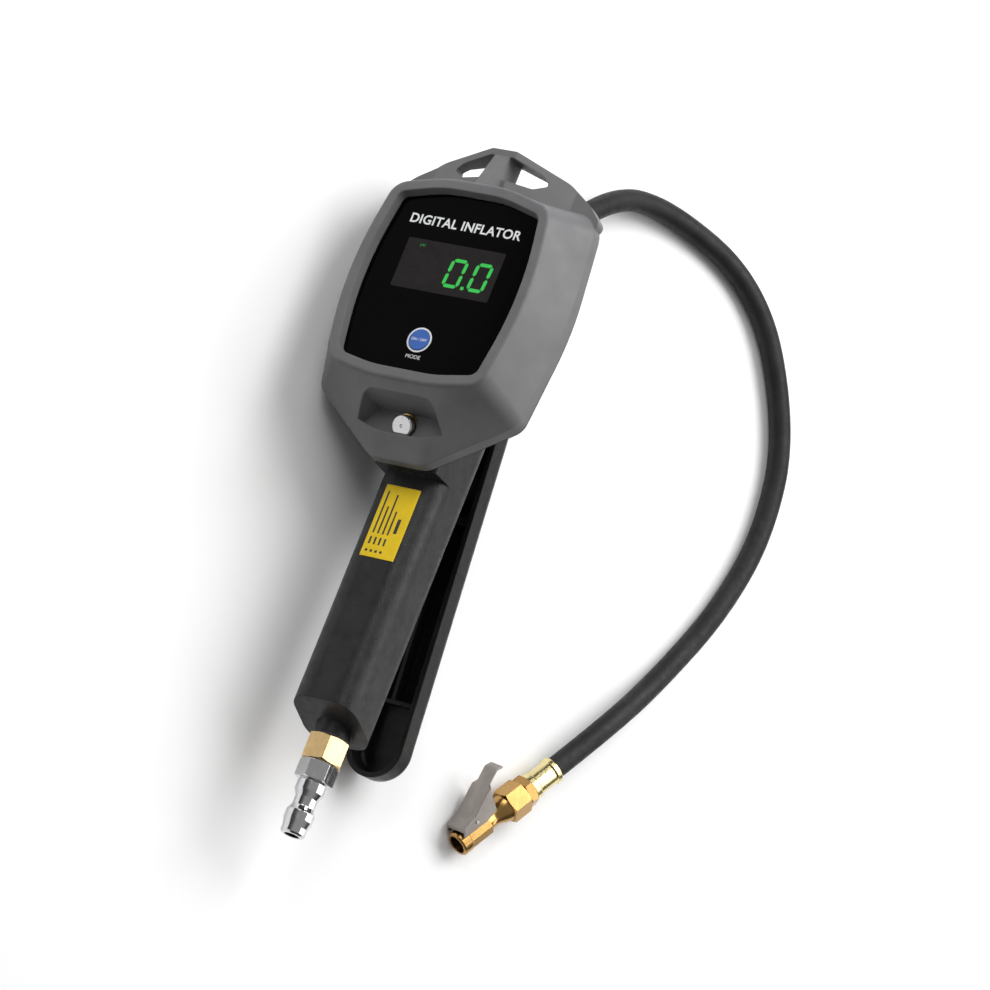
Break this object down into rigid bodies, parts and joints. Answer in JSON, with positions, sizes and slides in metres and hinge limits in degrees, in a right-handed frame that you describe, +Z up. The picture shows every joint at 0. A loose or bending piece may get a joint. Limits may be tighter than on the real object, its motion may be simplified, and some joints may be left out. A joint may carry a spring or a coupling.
{
  "type": "tyre inflator with gauge",
  "caption": "Hand-held digital tyre inflator: gauge in a rubber boot, pistol grip with squeeze lever, quick-coupler inlet, air hose and clip-on chuck.",
  "frame": {"origin": "on the floor under the centre of the tool's box, measured without the hose and chuck; the tool lies on its left side", "axes": "+Y runs up the grip from the inlet to the hanging holes, +Z is up from the floor, and +X points away from the display toward the hose loop"},
  "size_m": [0.244, 0.3271, 0.0927],
  "materials": {
    "boot": "matte moulded rubber, mid grey",
    "case_black": "fine satin",
    "glass": "polished, tinted black round the window",
    "lcd": "smooth dark panel",
    "board": "solder-mask green",
    "chip": "matte",
    "button_blue": "satin blue",
    "print_white": "flat white print",
    "lcd_green": "lit segments",
    "grip_black": "fine grain",
    "lever_black": "satin powder coat",
    "label_yellow": "laminated sticker",
    "label_ink": "printed black",
    "chrome": "polished plate",
    "steel": "plain",
    "clip_steel": "warm grey, rolled",
    "screw_black": "black oxide",
    "brass": "machined",
    "bronze": "warm machined brass",
    "gold": "pale plated",
    "hose": "matte black rubber",
    "seal": "black",
    "cell": "printed sleeve",
    "spring": "drawn wire"
  },
  "bodies": {
    "inflator": {"batteries": "cell", "battery_contacts": "spring", "battery_door": "case_black", "bleed_spring": "spring", "bleed_valve_body": "brass", "board_chips": "chip", "board_spacers": "brass", "boot_cover": "boot", "button_ring": "print_white", "chuck_body": "bronze", "chuck_ferrule": "gold", "chuck_nut": "bronze", "chuck_seal": "seal", "circuit_board": "board", "clip_pin": "steel", "clip_spring": "spring", "cover_screws": "screw_black", "depressor_pin": "brass", "display_glass": "glass", "door_screw": "screw_black", "gauge_case": "case_black", "grip_body": "grip_black", "hose": "hose", "inlet_adapter": "brass", "inlet_filter": "steel", "inlet_plug": "chrome", "inlet_seal": "seal", "label_plate": "label_yellow", "lcd_panel": "lcd", "lever_spring": "spring", "neck_screws": "screw_black", "outlet_ferrule": "gold", "outlet_fitting": "brass", "pressure_sensor": "chip", "rear_cover": "case_black", "sensor_tube": "brass", "stem_guide": "brass", "tact_switch": "steel", "valve_seat": "seal", "valve_spring": "spring"},
    "lever": {"lever": "lever_black", "lever_pin": "steel", "pin_clip": "spring"},
    "valve": {"valve_stem": "steel", "valve_seal": "seal"},
    "mode_button": {"mode_button": "button_blue", "switch_plunger": "case_black"},
    "bleed_button": {"bleed_button": "chrome", "bleed_seal": "seal"},
    "clip": {"chuck_clip": "clip_steel"}
  },
  "joints": [
    {"name": "lever_squeeze", "type": "hinge", "parent": "inflator", "child": "lever", "pos_m": [0.0243, 0.0518, 0.02411], "axis": [-0.4798, 0, -0.8774], "range_deg": [0, 6.5], "stiffness_Nm_per_rad": 2, "springref_deg": -20.05, "deforming": ["lever_spring"]},
    {"name": "valve_slide", "type": "slide", "parent": "inflator", "child": "valve", "axis": [-0.8774, 0, 0.4798], "range_m": [0, 0.0045], "deforming": ["valve_spring"]},
    {"name": "mode_press", "type": "slide", "parent": "inflator", "child": "mode_button", "axis": [0.8774, 0, -0.4798], "range_m": [0, 0.0006], "stiffness_N_per_m": 800, "springref_m": -0.001},
    {"name": "bleed_press", "type": "slide", "parent": "inflator", "child": "bleed_button", "axis": [0.7952, 0.4226, -0.4348], "range_m": [0, 0.0012], "stiffness_N_per_m": 1500, "springref_m": -0.0015, "deforming": ["bleed_spring"]},
    {"name": "clip_squeeze", "type": "hinge", "parent": "inflator", "child": "clip", "pos_m": [0.09801, -0.09548, 0.00821], "axis": [-0.1801, 0.1704, -0.9688], "range_deg": [0, 18], "stiffness_Nm_per_rad": 0.05, "springref_deg": -17.19, "deforming": ["clip_spring"]}
  ],
  "couplings": [
    {"joint": "valve_slide", "follows": "lever_squeeze", "m_per_rad": 0.039}
  ]
}
